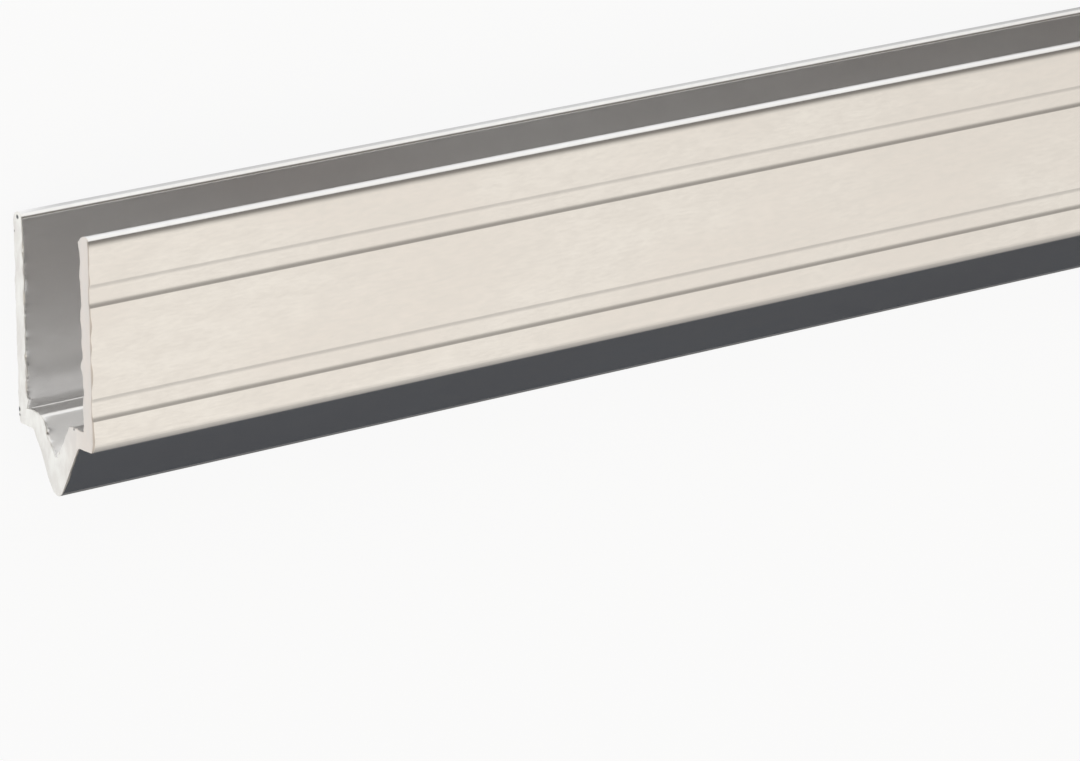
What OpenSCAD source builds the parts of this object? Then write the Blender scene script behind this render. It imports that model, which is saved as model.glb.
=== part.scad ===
// Aluminium tongue extrusion for the closing edge of a panel-built case.
// A deep slot takes the edge of a panel and a V tongue behind it seats in a
// matching groove. The bar is one extruded piece, and lies on its rear wall:
// X runs along the bar, the slot's mouth faces +Y and the front wall faces +Z.

/* [Stock] */
// Length of the bar
bar_length = 1000; // [200:10:4000]

/* [Panel slot] */
// Clear width between the two walls, for the panel
slot_width = 10; // [8:0.1:18]
// Depth of the slot, from the mouth to the panel seat
slot_depth = 19.4; // [18:0.1:40]

/* [Walls] */
// Thickness of each wall over its flat lands
wall_thickness = 1.5; // [1.2:0.05:3]
// Rounding of the two edges at each wall's free end
wall_end_radius = 0.66; // [0.2:0.02:1]
// Rounding of the outer corner at each wall's foot
foot_radius = 0.2; // [0.1:0.05:0.6]
// How far each outer face falls back at its upper and lower edge
face_relief = 0.24; // [0.04:0.01:0.3]
// Height of the part of an outer face that falls back, at each edge
relief_height = 0.7; // [0.4:0.05:1]
// Rounding where an outer face starts to fall back
relief_radius = 2.2; // [0.4:0.1:4]

/* [Guide grooves in the outer faces] */
// Width of each groove at the wall's face
groove_width = 2.3; // [1.8:0.05:3]
// Depth of each groove
groove_depth = 0.1; // [0.05:0.01:0.16]
// Angle between a groove's sides and the wall's face
groove_slope = 13; // [11:1:45]
// Hollow rounding between each side of a groove and its floor
groove_fillet = 1.2; // [0.2:0.1:3]
// From the underside of the base to the middle of the lower groove
lower_groove_height = 4.31; // [3:0.01:6]
// From the underside of the base to the middle of the upper groove
upper_groove_height = 15.49; // [12:0.01:16.5]
// Rounding of the land edges beside a groove
land_edge_radius = 0.05; // [0.02:0.01:0.2]

/* [Base] */
// Thickness of the base that carries the panel seat
base_thickness = 1.75; // [1.5:0.05:3]
// Fillet between each wall and the panel seat
seat_fillet = 0.06; // [0.02:0.02:0.8]
// Rounding where the panel seat turns down into the tongue
seat_edge_radius = 0.55; // [0.1:0.05:0.8]

/* [Tongue] */
// Depth of the tongue below the underside of the base
tongue_depth = 5.75; // [4:0.05:6]
// Angle between the two flanks of the tongue
tongue_angle = 60; // [50:1:66]
// Rounding of the tongue's tip
tip_radius = 1.1; // [0.6:0.1:2]
// Thickness of each leg of the tongue
leg_thickness = 2.2; // [1.8:0.05:2.6]
// Fillet between the tongue and the base
root_fillet = 0.6; // [0.1:0.1:1.6]
// Fillet at the bottom of the tongue's inner groove
inner_fillet = 0.4; // [0.1:0.05:0.6]

/* [Hidden] */

// Largest turn, in degrees, between two neighbouring facets of a rounding
arc_angle = 9;
// Most of an edge that the roundings at its two ends may take up
edge_ratio = 0.99;

overall_width = slot_width + 2 * wall_thickness;
wall_height = base_thickness + slot_depth;
half_angle = tongue_angle / 2;
half_slot = slot_width / 2;
half_width = overall_width / 2;

// Where the tongue's flanks would meet if its tip and inner groove were sharp
outer_apex = -(tongue_depth + tip_radius / sin(half_angle) - tip_radius);
inner_apex = outer_apex + leg_thickness / sin(half_angle);
root_half_width = -outer_apex * tan(half_angle);
seat_half_gap = (base_thickness - inner_apex) * tan(half_angle);

// The middle of the bar's overall height, which lies on the X axis
mid_height = (wall_height - tongue_depth) / 2;

function unit(v) = v / norm(v);
function spot(corner) = [corner[0], corner[1]];
function before(i, list) = list[(i + len(list) - 1) % len(list)];
function after(i, list) = list[(i + 1) % len(list)];

// The angle inside the corner between its two edges
function corner_angle(i, corners) =
    let (a = unit(spot(before(i, corners)) - spot(corners[i])),
         b = unit(spot(after(i, corners)) - spot(corners[i])))
    acos(max(-1, min(1, a * b)));

// How far each corner's rounding reaches along its edges
function reaches(corners) =
    [for (i = [0 : len(corners) - 1]) corners[i][2] / tan(corner_angle(i, corners) / 2)];

// How far the roundings at an edge's two ends have to shrink to leave some of that edge
function edge_share(i, corners, reach) =
    min(1, edge_ratio * norm(spot(after(i, corners)) - spot(corners[i])) / (reach[i] + after(i, reach)));

// One corner [height, offset, radius] as the points of its arc
function corner_arc(i, corners, shrink) =
    let (here = spot(corners[i]),
         a = unit(spot(before(i, corners)) - here),
         b = unit(spot(after(i, corners)) - here),
         angle = corner_angle(i, corners),
         radius = corners[i][2] * shrink,
         centre = here + unit(a + b) * radius / sin(angle / 2),
         first = here + a * radius / tan(angle / 2) - centre,
         turn = sign(cross(b, a)) * (180 - angle),
         steps = ceil(abs(turn) / arc_angle))
    [for (k = [0 : steps])
        let (t = turn * k / steps)
        centre + [first[0] * cos(t) - first[1] * sin(t), first[0] * sin(t) + first[1] * cos(t)]];

// A closed outline of corners, each rounded to its own radius
function rounded(corners) =
    let (reach = reaches(corners),
         share = [for (i = [0 : len(corners) - 1]) edge_share(i, corners, reach)])
    [for (i = [0 : len(corners) - 1])
        each corner_arc(i, corners, min(share[i], before(i, share)))];

// The four corners of one groove in a wall's outer face, from its lower edge up
function groove(height) =
    let (low = height - groove_width / 2,
         high = height + groove_width / 2,
         side_run = groove_depth / tan(groove_slope),
         floor_offset = half_width - groove_depth)
    [[low, half_width, land_edge_radius],
     [low + side_run, floor_offset, groove_fillet],
     [high - side_run, floor_offset, groove_fillet],
     [high, half_width, land_edge_radius]];

// One half of the section, from the tongue's root round the wall to the panel seat
half_corners = [
    [0, root_half_width, root_fillet],
    [0, half_width - face_relief, foot_radius],
    [relief_height, half_width, relief_radius],
    each groove(lower_groove_height),
    each groove(upper_groove_height),
    [wall_height - relief_height, half_width, relief_radius],
    [wall_height, half_width - face_relief, wall_end_radius],
    [wall_height, half_slot, wall_end_radius],
    [base_thickness, half_slot, seat_fillet],
    [base_thickness, seat_half_gap, seat_edge_radius],
];

// The other half, met in the opposite order
mirrored_corners = [
    for (i = [len(half_corners) - 1 : -1 : 0])
        [half_corners[i][0], -half_corners[i][1], half_corners[i][2]]
];

module section() {
    polygon(rounded([
        [outer_apex, 0, tip_radius],
        each half_corners,
        [inner_apex, 0, inner_fillet],
        each mirrored_corners,
    ]));
}

module tongue_profile() {
    color("#d9d3cb")
        translate([0, -mid_height, half_width])
            rotate([90, 0, 90])
                linear_extrude(height = bar_length, center = true)
                    section();
}

tongue_profile();
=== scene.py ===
import math

import bmesh
import bpy
import numpy as np
from bpy.props import FloatProperty, FloatVectorProperty, PointerProperty
from mathutils import Matrix, Vector, noise
from mathutils.geometry import delaunay_2d_cdt


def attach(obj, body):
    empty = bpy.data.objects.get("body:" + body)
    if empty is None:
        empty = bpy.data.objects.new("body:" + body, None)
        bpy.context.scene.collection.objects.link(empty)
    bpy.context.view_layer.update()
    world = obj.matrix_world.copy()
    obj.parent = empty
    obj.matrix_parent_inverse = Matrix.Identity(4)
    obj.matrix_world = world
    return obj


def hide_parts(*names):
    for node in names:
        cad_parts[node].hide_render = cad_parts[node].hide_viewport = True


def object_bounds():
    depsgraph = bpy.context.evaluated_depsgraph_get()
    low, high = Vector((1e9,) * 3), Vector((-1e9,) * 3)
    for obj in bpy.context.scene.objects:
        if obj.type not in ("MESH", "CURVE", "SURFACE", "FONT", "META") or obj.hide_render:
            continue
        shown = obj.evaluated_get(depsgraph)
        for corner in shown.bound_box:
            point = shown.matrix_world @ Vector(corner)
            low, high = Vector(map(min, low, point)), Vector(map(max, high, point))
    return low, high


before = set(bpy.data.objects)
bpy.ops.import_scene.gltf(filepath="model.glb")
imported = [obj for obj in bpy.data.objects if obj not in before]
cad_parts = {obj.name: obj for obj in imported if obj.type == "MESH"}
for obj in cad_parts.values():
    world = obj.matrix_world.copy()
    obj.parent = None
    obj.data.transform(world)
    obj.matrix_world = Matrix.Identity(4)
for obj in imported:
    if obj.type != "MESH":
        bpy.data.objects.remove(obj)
CAD_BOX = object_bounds()

bl_info = {
    "name": "Tongue Extrusion",
    "version": (1, 0, 0),
    "blender": (4, 5, 0),
    "location": "3D View > Sidebar > Extrusion",
    "description": "Builds a sawn bar of mill-finish extrusion and sets it on a studio floor",
    "category": "Object",
}

BAR_NODE = "tongue_profile"
BODY = "root"
MM = 0.001
BLACK = (0.0, 0.0, 0.0, 1.0)

SENSOR_WIDTH = 36.0
CLIP_START = 0.01
LIGHT_BOUNCES = 24
FLOOR_SEGMENTS = 96
# Across the bar, where the floor's shade begins on the slot's side and where it is full
SHADE_REACH = (0.03, -0.006)
# Along the bar, how far behind its near end that shade is full
SHADE_START = 0.006
# Along the bar, where the painted shadow on the mirrored floor by the slot's mouth begins and
# where it is darkest
MOUTH_SHADOW_ALONG = (-0.42, -0.24)
# Across the bar, where that painted shadow begins and where it is full
MOUTH_SHADOW_ACROSS = (0.032, 0.018)
# Share of a direction that points along the bar, where the light starts to fall off
# and where it is dimmest
FAR_REACH = (0.57, 0.66)

# Texture units in a metre along each axis: the finish is drawn out along the bar
GRAIN_UNITS = (200.0, 1000.0, 1000.0)
PATCH_UNITS = (400.0, 1000.0, 1000.0)
MILLIMETRES = (1000.0, 1000.0, 1000.0)
# Factors on millimetres that leave only the plane of a cut, and that draw its smear out
CUT_PLANE = (0.0, 1.0, 1.0)
SMEAR_STRETCH = (1.0, 0.6, 1.4)
# Noises of the finish: scale, detail and, where it isn't a half, roughness
GRAIN_NOISE = (4.5, 3.0, 0.6)
MOTTLE_NOISE = (0.8, 4.0, 0.65)
WARM_NOISE = (0.1, 2.0)
WANDER_NOISE = (0.7, 3.0)
MARK_NOISE = (1.0, 2.0)
SMEAR_NOISE = (0.6, 4.0)
# Levels of those noises between which a colour comes in
WARM_RANGE = (0.35, 0.65)
DULL_RANGE = (0.3, 0.7)
HOLLOW_RANGE = (0.38, 0.63)
# Share of the first noise where two are mixed: grain in mottle, saw marks in smear
GRAIN_SHARE = 0.4
MARK_SHARE = 0.25
# How deep the colour of the saw marks' hollows gets
HOLLOW_SHADE = 0.6
# Heights, in millimetres, between which painted shade darkens the cut, and how far smear moves
# them
PAINTED_SHADE_HEIGHTS = (8.0, 13.0)
SMEAR_RISE = 3.0
# Least roughness of both surfaces, and what their noises add to it
MILL_ROUGHNESS = 0.17
GRAIN_ROUGHNESS = 0.05
MOTTLE_ROUGHNESS = 0.04
CUT_ROUGHNESS = 0.38
SMEAR_ROUGHNESS = 0.14
# Bumps of both surfaces: strength and distance
GRAIN_BUMP = (0.1, 0.01 * MM)
MARK_BUMP = (0.15, 0.05 * MM)
# Middle of the saw blade, in millimetres, how closely its marks follow each other
# and how far they wander
BLADE_CENTRE = (0.0, -40.0, 115.0)
MARKS_PER_MM = 2.2
MARK_WANDER = 2.5
# Painted shadows of small notches and holes, as dark spots on the near cut: place across the bar,
# height over the floor and radius, in millimetres
NOTCH_SHADOWS = (
    (13.0, 0.85, 0.22), (-6.25, 0.2, 0.26), (-6.8, 0.25, 0.16),
    (11.5, 0.2, 0.14), (-5.95, 9.8, 0.12))
# Width of a painted notch shadow's soft rim, in millimetres, and how far noise bends it
NOTCH_SHADOW_RIM = 0.2
NOTCH_SHADOW_WANDER = 0.25

# Flakes of metal at the edges of both cuts: place across the bar and height over the floor,
# in millimetres, and radius as a share of the flake size
FLAKES = (
    (-9.2, 6.8, 1.3), (-9.75, 6.3, 0.8), (-6.0, 9.35, 1.0), (-5.95, 10.2, 1.0),
    (12.7, 11.4, 1.3), (9.8, 1.5, 0.9), (7.2, 1.5, 0.8), (3.4, 1.5, 0.7),
    (-8.6, 5.5, 0.6), (9.9, 11.5, 0.8))
# Thickness of a flake as a share of its width
FLAKE_FLATNESS = 0.4
# A flake's mean size in its ball, how much its lumps change that and how fine they are
FLAKE_MEAN = 0.75
FLAKE_SWING = 0.6
FLAKE_WAVES = 1.4
FLAKE_SUBDIVISIONS = 2
# Burrs as shares of the burr height: their mean, the ripple on them and single crumbs
BURR_MEAN = 0.25
RIPPLE_SHARE = 0.35
CRUMB_SHARE = 0.6
# How many times finer than the burrs the ripple and the crumbs are
RIPPLE_FINENESS = 3.1
CRUMB_FINENESS = 4.3
# Level of their noise above which crumbs stand out
CRUMB_LEVEL = 0.35
# How fast the burrs fade out where the section's edge turns to face the tongue's way
BURR_FADE = 3.0
# Swing of the edge break about its mean and the least that is left, as shares of the mean
BREAK_SWING = 1.5
BREAK_LEAST = 0.2
# Depth and inset of the ring halfway round the broken edge, as a share of the edge break
BREAK_BEND = 0.3
# Depths behind a cut, in millimetres, of the rings on which the burrs fade out
RING_DEPTHS = (0.25, 0.4, 0.6, 0.9, 1.3, 2.2, 4.0)
# Rows of faces at each end that belong to the broken edge
BROKEN_ROWS = 2
# Seeds of the noise at both ends, and the step to the seed of the next noise
NEAR_SEED = 3.1
FAR_SEED = 11.7
SEED_STEP = 40.0
# One micrometre, the grid on which the CAD mesh's corners are matched to each other
CORNER_GRID = 1e-6
# Points of a cut this close, in millimetres, count as one, and only its inside is filled
MERGE_DISTANCE = 1e-6
INSIDE_ONLY = 1
# Places of the two materials in the bar's mesh
MILL_INDEX = 0
SAWN_INDEX = 1


class BarSettings(bpy.types.PropertyGroup):
    """Shape of the sawn ends, finish of the metal and the painted shade on the cuts."""

    outline_step: FloatProperty(
        name="Outline step", description="Longest stretch of the section between two points",
        default=0.12 * MM, min=0.05 * MM, unit="LENGTH", precision=5)
    edge_break: FloatProperty(
        name="Edge break", description="Mean rounding of the section's edge at a saw cut",
        default=0.15 * MM, min=0.0, unit="LENGTH", precision=5)
    burr_height: FloatProperty(
        name="Burr height", description="How far the saw pushed the edge in or out",
        default=0.36 * MM, min=0.0, unit="LENGTH", precision=5)
    burr_pitch: FloatProperty(
        name="Burr pitch", description="Length of one wave of the burred edge along the section",
        default=1.5 * MM, min=0.2 * MM, unit="LENGTH", precision=5)
    burr_reach: FloatProperty(
        name="Burr reach", description="How far along the bar a burr fades out",
        default=0.3 * MM, min=0.05 * MM, unit="LENGTH", precision=5)
    flake_size: FloatProperty(
        name="Flake size", description="Mean radius of the flakes of metal left at a saw cut",
        default=0.24 * MM, min=0.0, unit="LENGTH", precision=5)
    smooth_angle: FloatProperty(
        name="Smooth angle",
        description="Largest turn between two faces that still shades as round",
        default=math.radians(24), subtype="ANGLE")
    metal_color: FloatVectorProperty(
        name="Metal", description="Colour of the extruded surface",
        default=(0.96, 0.962, 0.96), subtype="COLOR", min=0.0, max=1.0)
    warm_color: FloatVectorProperty(
        name="Warm patches", description="Colour of the warmer patches of the extruded surface",
        default=(0.924, 0.910, 0.904), subtype="COLOR", min=0.0, max=1.0)
    dull_color: FloatVectorProperty(
        name="Grain", description="Colour of the duller grain of the extruded surface",
        default=(0.893, 0.888, 0.885), subtype="COLOR", min=0.0, max=1.0)
    cut_color: FloatVectorProperty(
        name="Saw cut", description="Colour of the freshly sawn ends",
        default=(0.922, 0.917, 0.882), subtype="COLOR", min=0.0, max=1.0)
    # Painted shade: a darker colour for the top of the cut, on the front wall's end
    cut_painted_shade_color: FloatVectorProperty(
        name="Painted cut shade", description="Colour of the cut high on the front wall, darkened as painted shade",
        default=(0.800, 0.745, 0.695), subtype="COLOR", min=0.0, max=1.0)
    cut_shade_color: FloatVectorProperty(
        name="Saw marks", description="Colour in the hollows of the saw marks",
        default=(0.765, 0.738, 0.708), subtype="COLOR", min=0.0, max=1.0)
    # Colour of the painted shadows of small notches and holes on the near cut
    notch_shadow_color: FloatVectorProperty(
        name="Notch shadows (painted)", description="Colour of the painted shadows in small notches on the near cut",
        default=(0.13, 0.135, 0.14), subtype="COLOR", min=0.0, max=1.0)


class StageSettings(bpy.types.PropertyGroup):
    """Camera, floor and studio light."""

    camera_place: FloatVectorProperty(
        name="Camera", description="Where the camera stands",
        default=(-0.80678, 0.170355, 0.48901), subtype="TRANSLATION", unit="LENGTH", precision=5)
    camera_aim: FloatVectorProperty(
        name="Aim", description="The point in the middle of the picture",
        default=(-0.446975, -0.010231, 0.01296), subtype="TRANSLATION", unit="LENGTH", precision=5)
    camera_roll: FloatProperty(
        name="Roll", description="Turn of the camera about its line of sight",
        default=math.radians(-0.2526), subtype="ANGLE")
    focal_length: FloatProperty(
        name="Focal length", description="Focal length for a 36 mm sensor, in millimetres",
        default=208.823, min=20.0, unit="CAMERA")
    floor_radius: FloatProperty(
        name="Floor radius", description="Radius of the studio floor",
        default=40.0, unit="LENGTH")
    floor_drop: FloatProperty(
        name="Floor drop", description="Gap between the bar and the floor",
        default=0.02 * MM, unit="LENGTH", precision=5)
    floor_color: FloatVectorProperty(
        name="Floor", description="Colour of the floor",
        default=(0.86, 0.86, 0.86), subtype="COLOR", min=0.0, max=1.0)
    floor_white: FloatProperty(
        name="Floor white", description="How much of the floor's look is plain white",
        default=0.92, min=0.0, max=1.0, subtype="FACTOR")
    side_color: FloatVectorProperty(
        name="Side light", description="Light from low on the slot's side",
        default=(1.0, 0.988, 0.960), subtype="COLOR", min=0.0, max=1.0)
    gap_color: FloatVectorProperty(
        name="Gap", description="Dim gap between the side light and the overhead light",
        default=(0.163, 0.150, 0.134), subtype="COLOR", min=0.0, max=1.0)
    key_color: FloatVectorProperty(
        name="Overhead light", description="Soft light over the tongue's side of the bar",
        default=(0.920, 0.858, 0.775), subtype="COLOR", min=0.0, max=1.0)
    shade_color: FloatVectorProperty(
        name="Shade", description="Dim studio wall on the tongue's side",
        default=(0.012, 0.020, 0.034), subtype="COLOR", min=0.0, max=1.0)
    side_top: FloatProperty(
        name="Side light's top", description="Height where the side light ends",
        default=math.radians(50), subtype="ANGLE")
    key_near: FloatProperty(
        name="Overhead light's near edge", description="Angle over the bar where it starts",
        default=math.radians(90.5), subtype="ANGLE")
    key_far: FloatProperty(
        name="Overhead light's far edge", description="Angle over the bar where it ends",
        default=math.radians(145), subtype="ANGLE")
    side_edge: FloatProperty(
        name="Side light's edge", description="Width of the side light's soft edge",
        default=math.radians(10), subtype="ANGLE")
    near_edge: FloatProperty(
        name="Near edge", description="Width of the overhead light's soft near edge",
        default=math.radians(41), subtype="ANGLE")
    far_edge: FloatProperty(
        name="Far edge", description="Width of the overhead light's soft far edge",
        default=math.radians(66), subtype="ANGLE")
    far_dimming: FloatProperty(
        name="Far dimming", description="How much dimmer the light is towards the bar's far end",
        default=0.1, min=0.0, max=1.0, subtype="FACTOR")
    mouth_shadow: FloatProperty(
        name="Mouth shadow (painted)",
        description="How dark the painted shadow on the mirrored floor by the slot's mouth gets",
        default=0.65, min=0.0, max=1.0, subtype="FACTOR")
    shade_floor: FloatProperty(
        name="Shaded floor", description="How bright the floor mirrors on the tongue's side",
        default=0.17, min=0.0, max=1.0, subtype="FACTOR")


class Wire:
    """A shader socket. Python arithmetic on it adds Math nodes."""

    def __init__(self, graph, socket):
        self.graph = graph
        self.socket = socket

    def out(self, name):
        """Another output of the same node."""
        return Wire(self.graph, self.socket.node.outputs[name])

    def __add__(self, other):
        return self.graph.maths("ADD", self, other)

    def __radd__(self, other):
        return self.graph.maths("ADD", other, self)

    def __mul__(self, other):
        return self.graph.maths("MULTIPLY", self, other)

    def __rmul__(self, other):
        return self.graph.maths("MULTIPLY", other, self)

    def __truediv__(self, other):
        return self.graph.maths("DIVIDE", self, other)

    def __rtruediv__(self, other):
        return self.graph.maths("DIVIDE", other, self)


class Graph:
    """The nodes of one material or world."""

    def __init__(self, owner):
        owner.use_nodes = True
        self.tree = owner.node_tree
        self.tree.nodes.clear()

    def node(self, kind, settings=None, sockets=None, output=0):
        """Adds a node, sets it up, fills or links its sockets and returns one of its outputs."""
        made = self.tree.nodes.new(kind)
        for name, value in (settings or {}).items():
            if name == "stops":
                self.set_stops(made.color_ramp, value)
            else:
                setattr(made, name, value)
        for name, value in (sockets or {}).items():
            if isinstance(value, Wire):
                self.tree.links.new(value.socket, made.inputs[name])
            else:
                made.inputs[name].default_value = value
        return Wire(self, made.outputs[output]) if made.outputs else None

    @staticmethod
    def set_stops(ramp, stops):
        """Fills a colour ramp with (place, colour) stops."""
        ramp.interpolation = "EASE"
        while len(ramp.elements) < len(stops):
            ramp.elements.new(1.0)
        for element, (place, color) in zip(ramp.elements, stops):
            element.position = place
            element.color = (*color, 1.0)

    def maths(self, operation, a, b):
        """One Math node."""
        return self.node("ShaderNodeMath", {"operation": operation}, {0: a, 1: b})

    def mix(self, share, low, high):
        """One colour mixed into another."""
        # The colour sockets have namesakes of other types, so they go by number
        return self.node(
            "ShaderNodeMix", {"data_type": "RGBA"}, {0: share, 6: low, 7: high}, output=2)

    def scaled(self, vector, factors):
        """A vector stretched along each axis."""
        return self.node(
            "ShaderNodeVectorMath", {"operation": "MULTIPLY"}, {0: vector, 1: factors})

    def distance(self, vector, point):
        """How far a vector is from a point."""
        return self.node(
            "ShaderNodeVectorMath", {"operation": "DISTANCE"},
            {0: vector, 1: point}, output="Value")

    def noise(self, vector, scale, detail, roughness=0.5):
        """Noise from 0 to 1 with a mean of about a half."""
        return self.node(
            "ShaderNodeTexNoise", None,
            {"Vector": vector, "Scale": scale, "Detail": detail, "Roughness": roughness},
            output="Fac")

    def between(self, value, low, high):
        """0 up to low, 1 from high on and smooth between them. High may be the smaller one."""
        return self.node(
            "ShaderNodeMapRange", {"interpolation_type": "SMOOTHSTEP"},
            {"Value": value, "From Min": low, "From Max": high})


def opaque(color):
    """A property's colour with full alpha."""
    return (*color, 1.0)


def finish_metal(graph, color, roughness, height, bump):
    """Ends a metal's nodes with its bump and its surface."""
    strength, distance = bump
    normal = graph.node(
        "ShaderNodeBump", None,
        {"Strength": strength, "Distance": distance, "Height": height}, output="Normal")
    surface = graph.node(
        "ShaderNodeBsdfPrincipled", None,
        {"Base Color": color, "Metallic": 1.0, "Roughness": roughness, "Normal": normal})
    graph.node("ShaderNodeOutputMaterial", None, {"Surface": surface})


def mill_metal(bar):
    """Extruded aluminium: fine die lines along the bar, and a soft mottle."""
    material = bpy.data.materials.new("mill_aluminium")
    graph = Graph(material)
    place = graph.node("ShaderNodeTexCoord", output="Object")
    fine = graph.scaled(place, GRAIN_UNITS)
    patch = graph.scaled(place, PATCH_UNITS)
    grain = graph.noise(fine, *GRAIN_NOISE)
    mottle = graph.noise(patch, *MOTTLE_NOISE)
    warmth = graph.between(graph.noise(patch, *WARM_NOISE), *WARM_RANGE)
    dull = graph.between(GRAIN_SHARE * grain + (1.0 - GRAIN_SHARE) * mottle, *DULL_RANGE)
    clean = graph.mix(warmth, opaque(bar.metal_color), opaque(bar.warm_color))
    color = graph.mix(dull, clean, opaque(bar.dull_color))
    roughness = MILL_ROUGHNESS + GRAIN_ROUGHNESS * grain + MOTTLE_ROUGHNESS * mottle
    finish_metal(graph, color, roughness, grain, GRAIN_BUMP)
    return material


def sawn_metal(bar):
    """A fresh saw cut: bright, rough metal with faint curved marks of the blade. Painted shade
    darkens its top, and dark spots paint the shadows of small notches.
    """
    material = bpy.data.materials.new("sawn_aluminium")
    graph = Graph(material)
    place = graph.node("ShaderNodeTexCoord", output="Object")
    millimetres = graph.scaled(place, MILLIMETRES)
    from_blade = graph.distance(graph.scaled(millimetres, CUT_PLANE), BLADE_CENTRE)
    wander = graph.noise(millimetres, *WANDER_NOISE)
    across_marks = graph.node(
        "ShaderNodeCombineXYZ", None, {"X": MARKS_PER_MM * from_blade + MARK_WANDER * wander})
    marks = graph.noise(across_marks, *MARK_NOISE)
    smear = graph.noise(graph.scaled(millimetres, SMEAR_STRETCH), *SMEAR_NOISE)
    height = graph.node("ShaderNodeSeparateXYZ", None, {0: millimetres}, output="Z")
    # Painted shade: the cut turns darker towards its top, on the front wall's end
    painted_shade_high = graph.between(height + SMEAR_RISE * smear, *PAINTED_SHADE_HEIGHTS)
    clean = graph.mix(painted_shade_high, opaque(bar.cut_color), opaque(bar.cut_painted_shade_color))
    hollow = graph.between(MARK_SHARE * marks + (1.0 - MARK_SHARE) * smear, *HOLLOW_RANGE)
    marked = graph.mix(HOLLOW_SHADE * hollow, clean, opaque(bar.cut_shade_color))
    # Painted shadows of small notches and holes: dark spots on the near cut
    notch_shadows = 0.0
    for across, up, radius in NOTCH_SHADOWS:
        apart = graph.distance(millimetres, (CAD_BOX[0].x / MM, across, up))
        notch_shadows = notch_shadows + graph.between(apart + NOTCH_SHADOW_WANDER * wander, radius + NOTCH_SHADOW_RIM, radius)
    color = graph.mix(notch_shadows, marked, opaque(bar.notch_shadow_color))
    finish_metal(graph, color, CUT_ROUGHNESS + SMEAR_ROUGHNESS * smear, marks, MARK_BUMP)
    return material


def section_corners():
    """The section's outline, in order, as the (Y, Z) corners of the CAD bar's own end face."""
    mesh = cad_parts[BAR_NODE].data
    mesh.calc_loop_triangles()
    places = np.array([v.co for v in mesh.vertices])
    end = places[:, 0].min()
    keys = [tuple(k) for k in np.rint(places[:, 1:] / CORNER_GRID).astype(int).tolist()]
    rim = set()
    for triangle in mesh.loop_triangles:
        corners = list(triangle.vertices)
        if max(abs(places[c, 0] - end) for c in corners) > CORNER_GRID:
            continue
        for a, b in zip(corners, corners[1:] + corners[:1]):
            edge = (keys[a], keys[b])
            if edge[::-1] in rim:
                rim.remove(edge[::-1])
            else:
                rim.add(edge)
    following = dict(rim)
    loop = [min(following)]
    while following[loop[-1]] != loop[0]:
        loop.append(following[loop[-1]])
    return np.array(loop) * CORNER_GRID


def fine_outline(corners, step):
    """The outline with its long stretches cut into steps."""
    points = []
    for a, b in zip(corners, np.roll(corners, -1, axis=0)):
        count = max(1, math.ceil(np.linalg.norm(b - a) / step))
        points.extend(a + (b - a) * k / count for k in range(count))
    return np.array(points)


def outward_normals(points):
    """The outward direction at each point of the outline."""
    ahead = np.roll(points, -1, axis=0) - points
    ahead /= np.linalg.norm(ahead, axis=1, keepdims=True)
    along = ahead + np.roll(ahead, 1, axis=0)
    normals = np.stack([along[:, 1], -along[:, 0]], axis=1)
    normals /= np.linalg.norm(normals, axis=1, keepdims=True)
    y, z = points[:, 0], points[:, 1]
    area = 0.5 * np.sum(y * np.roll(z, -1) - z * np.roll(y, -1))
    return normals * math.copysign(1.0, area)


def wave(places, pitch, seed):
    """Smooth noise from about -1 to 1 at each place of the section."""
    return np.array([noise.noise(Vector((y / pitch, z / pitch, seed))) for y, z in places])


def burr_heights(points, normals, settings, seed):
    """How far the saw pushed out each point of a cut's edge."""
    low, high = (np.array(corner)[1:] for corner in CAD_BOX)
    pitch = settings.burr_pitch
    ripple = wave(points, pitch / RIPPLE_FINENESS, seed + SEED_STEP)
    crumbs = wave(points, pitch / CRUMB_FINENESS, seed + 2 * SEED_STEP)
    burrs = settings.burr_height * (
        BURR_MEAN + wave(points, pitch, seed) + RIPPLE_SHARE * ripple
        + CRUMB_SHARE * np.maximum(crumbs - CRUMB_LEVEL, 0.0))
    # They stand out only where they stay inside the bar's box, and not under the base,
    # where the saw came in
    room = np.minimum(points - low, high - points).min(axis=1)
    facing = np.clip(1.0 + BURR_FADE * normals[:, 0], 0.0, 1.0)
    return burrs * np.where(room > 2 * settings.burr_height, facing, 0.0)


def bar_rings(points, settings):
    """Rings of points along the bar, close together at its broken and burred ends."""
    low, high = (np.array(corner) for corner in CAD_BOX)
    normals = outward_normals(points)
    none = np.zeros(len(points))
    rings = []
    for end, inward, seed in ((low[0], 1.0, NEAR_SEED), (high[0], -1.0, FAR_SEED)):
        burrs = burr_heights(points, normals, settings, seed)
        swing = BREAK_SWING * wave(points, settings.burr_pitch, seed + 3 * SEED_STEP)
        broken = settings.edge_break * np.maximum(1.0 + swing, BREAK_LEAST)
        # Each ring of an end: how deep it lies behind the saw cut and how far it is drawn in
        plan = [(none, broken), (BREAK_BEND * broken, BREAK_BEND * broken), (broken, none)]
        plan += [(none + depth * MM, none) for depth in RING_DEPTHS]
        made = []
        for depth, drawn_in in plan:
            moved = burrs * np.exp(-depth / settings.burr_reach) - drawn_in
            section = np.clip(points + normals * moved[:, None], low[1:], high[1:])
            made.append(np.column_stack([end + inward * depth, section]))
        rings.extend(made if inward > 0 else made[::-1])
    return rings


def cut_face(ring):
    """A sawn end, inside its ring of points: its corners and the triangles between them."""
    flat = [Vector((y, z)) / MM for _, y, z in ring]
    edges = [(k, (k + 1) % len(flat)) for k in range(len(flat))]
    corners, _, triangles, *_ = delaunay_2d_cdt(flat, edges, [], INSIDE_ONLY, MERGE_DISTANCE)
    return [(ring[0][0], y * MM, z * MM) for y, z in corners], triangles


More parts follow.
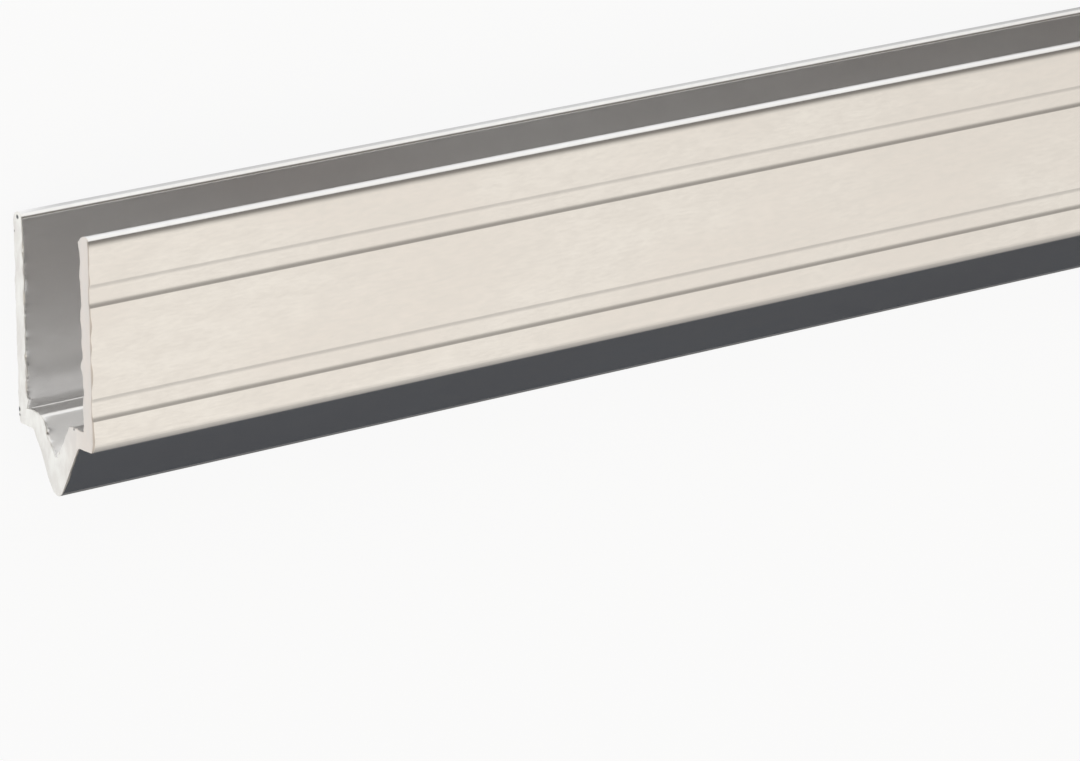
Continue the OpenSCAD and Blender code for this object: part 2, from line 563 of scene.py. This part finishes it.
def fill_mesh(mesh, rings):
    """Joins the rings with faces, closes both ends and gives each face its material."""
    count = len(rings[0])
    corners = [tuple(point) for ring in rings for point in ring]
    faces = []
    for start in range(0, len(corners) - count, count):
        for k in range(count):
            here = start + k
            there = start + (k + 1) % count
            faces.append((here, there, there + count, here + count))
    side_count = len(faces)
    for ring in (rings[0], rings[-1]):
        cut_corners, triangles = cut_face(ring)
        faces.extend(tuple(len(corners) + k for k in triangle) for triangle in triangles)
        corners.extend(cut_corners)
    mesh.from_pydata(corners, [], faces)
    broken_edge = BROKEN_ROWS * count
    for face in mesh.polygons:
        face.use_smooth = True
        at_cut = face.index < broken_edge or face.index >= side_count - broken_edge
        face.material_index = SAWN_INDEX if at_cut else MILL_INDEX


def add_flakes(shape, settings):
    """Small flat flakes of metal that hang over the edges of both cuts."""
    low, high = CAD_BOX
    flat = Matrix.Diagonal((FLAKE_FLATNESS, 1.0, 1.0, 1.0))
    for across, height, share in FLAKES:
        radius = share * settings.flake_size
        for end, inward in ((low.x, 1.0), (high.x, -1.0)):
            middle = Vector((end + inward * FLAKE_FLATNESS * radius, across * MM, height * MM))
            ball = bmesh.ops.create_icosphere(
                shape, subdivisions=FLAKE_SUBDIVISIONS, radius=radius,
                matrix=Matrix.Translation(middle) @ flat)
            shift = Vector((across, height, end))
            for vertex in ball["verts"]:
                away = vertex.co - middle
                lumps = noise.noise(FLAKE_WAVES * away / radius + shift)
                vertex.co = middle + away * min(FLAKE_MEAN + FLAKE_SWING * lumps, 1.0)
                for face in vertex.link_faces:
                    face.material_index = SAWN_INDEX
                    face.smooth = True


class BuildBar(bpy.types.Operator):
    """Builds the bar from the section of the CAD solid, with burred saw cuts at both ends"""

    bl_idname = "extrusion.build_bar"
    bl_label = "Bar"

    def execute(self, context):
        settings = context.scene.bar_settings
        points = fine_outline(section_corners(), settings.outline_step)
        mesh = bpy.data.meshes.new("extruded_bar")
        mesh.materials.append(mill_metal(settings))
        mesh.materials.append(sawn_metal(settings))
        fill_mesh(mesh, bar_rings(points, settings))
        shape = bmesh.new()
        shape.from_mesh(mesh)
        bmesh.ops.remove_doubles(shape, verts=shape.verts, dist=CORNER_GRID)
        add_flakes(shape, settings)
        bmesh.ops.recalc_face_normals(shape, faces=shape.faces)
        shape.to_mesh(mesh)
        shape.free()
        mesh.set_sharp_from_angle(angle=settings.smooth_angle)
        bar = bpy.data.objects.new("extruded_bar", mesh)
        context.scene.collection.objects.link(bar)
        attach(bar, BODY)
        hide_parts(BAR_NODE)
        return {"FINISHED"}


def build_floor(scene, stage):
    """A wide pale floor that shows nearly white and keeps the bar's shadow. In reflections it is
    dimmer, with painted shade, on the tongue's side and by the slot's mouth.
    """
    mesh = bpy.data.meshes.new("studio_floor")
    shape = bmesh.new()
    bmesh.ops.create_circle(
        shape, cap_ends=True, segments=FLOOR_SEGMENTS, radius=stage.floor_radius)
    shape.to_mesh(mesh)
    shape.free()
    floor = bpy.data.objects.new("studio_floor", mesh)
    floor.location.z = CAD_BOX[0].z - stage.floor_drop
    material = bpy.data.materials.new("studio_floor")
    graph = Graph(material)
    rays = graph.node("ShaderNodeLightPath", output="Is Camera Ray")
    mirrored = rays.out("Is Glossy Ray") + rays.out("Is Transmission Ray")
    place = graph.node("ShaderNodeTexCoord", output="Object")
    along = graph.node("ShaderNodeSeparateXYZ", None, {0: place}, output="X")
    across = along.out("Y")
    near_end = CAD_BOX[0].x
    beside = graph.between(along, near_end, near_end + SHADE_START)
    # In reflections only, the floor is dimmed: painted shade on the tongue's side and a painted
    # shadow by the slot's mouth
    behind = beside * graph.between(across, *SHADE_REACH)
    shadow_by_mouth = graph.between(across, *MOUTH_SHADOW_ACROSS) * graph.between(along, *MOUTH_SHADOW_ALONG)
    shaded = mirrored * (behind + stage.mouth_shadow * shadow_by_mouth)
    lit = graph.node("ShaderNodeBsdfDiffuse", None, {"Color": opaque(stage.floor_color)})
    white = graph.node("ShaderNodeEmission", None, {"Strength": 1.0})
    dim = graph.node("ShaderNodeEmission", None, {"Strength": stage.shade_floor})
    open_floor = graph.node(
        "ShaderNodeMixShader", None, {0: stage.floor_white * rays + mirrored, 1: lit, 2: white})
    look = graph.node("ShaderNodeMixShader", None, {0: shaded, 1: open_floor, 2: dim})
    graph.node("ShaderNodeOutputMaterial", None, {"Surface": look})
    mesh.materials.append(material)
    scene.collection.objects.link(floor)


def build_light(scene, stage):
    """Soft studio light in long strips over the bar, as the world all round it."""
    world = bpy.data.worlds.new("studio_light")
    scene.world = world
    graph = Graph(world)
    direction = graph.node("ShaderNodeTexCoord", output="Generated")
    along = graph.node("ShaderNodeSeparateXYZ", None, {0: direction}, output="X")
    over = graph.maths("ARCTAN2", along.out("Z"), along.out("Y")) / math.pi
    stops = [
        (0.0, stage.side_color),
        (stage.side_top - stage.side_edge / 2, stage.side_color),
        (stage.side_top + stage.side_edge / 2, stage.gap_color),
        (stage.key_near - stage.near_edge / 2, stage.gap_color),
        (stage.key_near + stage.near_edge / 2, stage.key_color),
        (stage.key_far - stage.far_edge / 2, stage.key_color),
        (stage.key_far + stage.far_edge / 2, stage.shade_color),
        (math.pi, stage.shade_color),
    ]
    strips = graph.node(
        "ShaderNodeValToRGB", {"stops": [(angle / math.pi, color) for angle, color in stops]},
        {"Fac": over}, output="Color")
    far = graph.between(along, *FAR_REACH)
    dimmed = graph.mix(stage.far_dimming * far, strips, BLACK)
    light = graph.node("ShaderNodeBackground", None, {"Color": dimmed, "Strength": 1.0})
    graph.node("ShaderNodeOutputWorld", None, {"Surface": light})


def build_camera(scene, stage):
    """The camera, turned so that the slot's mouth is at the top of the picture."""
    data = bpy.data.cameras.new("camera")
    data.sensor_width = SENSOR_WIDTH
    data.lens = stage.focal_length
    data.clip_start = CLIP_START
    data.clip_end = 2 * stage.floor_radius
    camera = bpy.data.objects.new("camera", data)
    place = Vector(stage.camera_place)
    forward = (Vector(stage.camera_aim) - place).normalized()
    mouth_side = Vector((0.0, 1.0, 0.0))
    right = forward.cross(mouth_side).normalized()
    up = right.cross(forward)
    turn = Matrix((right, up, -forward)).transposed().to_4x4()
    camera.matrix_world = (
        Matrix.Translation(place) @ turn @ Matrix.Rotation(stage.camera_roll, 4, "Z"))
    scene.collection.objects.link(camera)
    scene.camera = camera


class BuildStage(bpy.types.Operator):
    """Sets the camera, the floor and the studio light"""

    bl_idname = "extrusion.build_stage"
    bl_label = "Stage"

    def execute(self, context):
        scene = context.scene
        stage = scene.stage_settings
        build_camera(scene, stage)
        build_floor(scene, stage)
        build_light(scene, stage)
        scene.view_settings.view_transform = "Standard"
        scene.cycles.max_bounces = LIGHT_BOUNCES
        scene.cycles.glossy_bounces = LIGHT_BOUNCES
        scene.cycles.caustics_reflective = False
        return {"FINISHED"}


class ExtrusionPanel(bpy.types.Panel):
    """The pieces of the bar and its stage"""

    bl_idname = "VIEW3D_PT_extrusion"
    bl_label = "Extrusion"
    bl_space_type = "VIEW_3D"
    bl_region_type = "UI"
    bl_category = "Extrusion"

    def draw(self, context):
        for operator in OPERATORS:
            self.layout.operator(operator.bl_idname)
        for settings in (context.scene.bar_settings, context.scene.stage_settings):
            column = self.layout.column()
            for name in settings.bl_rna.properties.keys():
                if name not in ("rna_type", "name"):
                    column.prop(settings, name)


OPERATORS = (BuildStage, BuildBar)
CLASSES = (BarSettings, StageSettings, *OPERATORS, ExtrusionPanel)


def register():
    for made in CLASSES:
        bpy.utils.register_class(made)
    bpy.types.Scene.bar_settings = PointerProperty(type=BarSettings)
    bpy.types.Scene.stage_settings = PointerProperty(type=StageSettings)


def unregister():
    del bpy.types.Scene.stage_settings
    del bpy.types.Scene.bar_settings
    for made in reversed(CLASSES):
        bpy.utils.unregister_class(made)


def main():
    register()
    bpy.ops.extrusion.build_stage()
    bpy.ops.extrusion.build_bar()


if __name__ == "__main__":
    main()
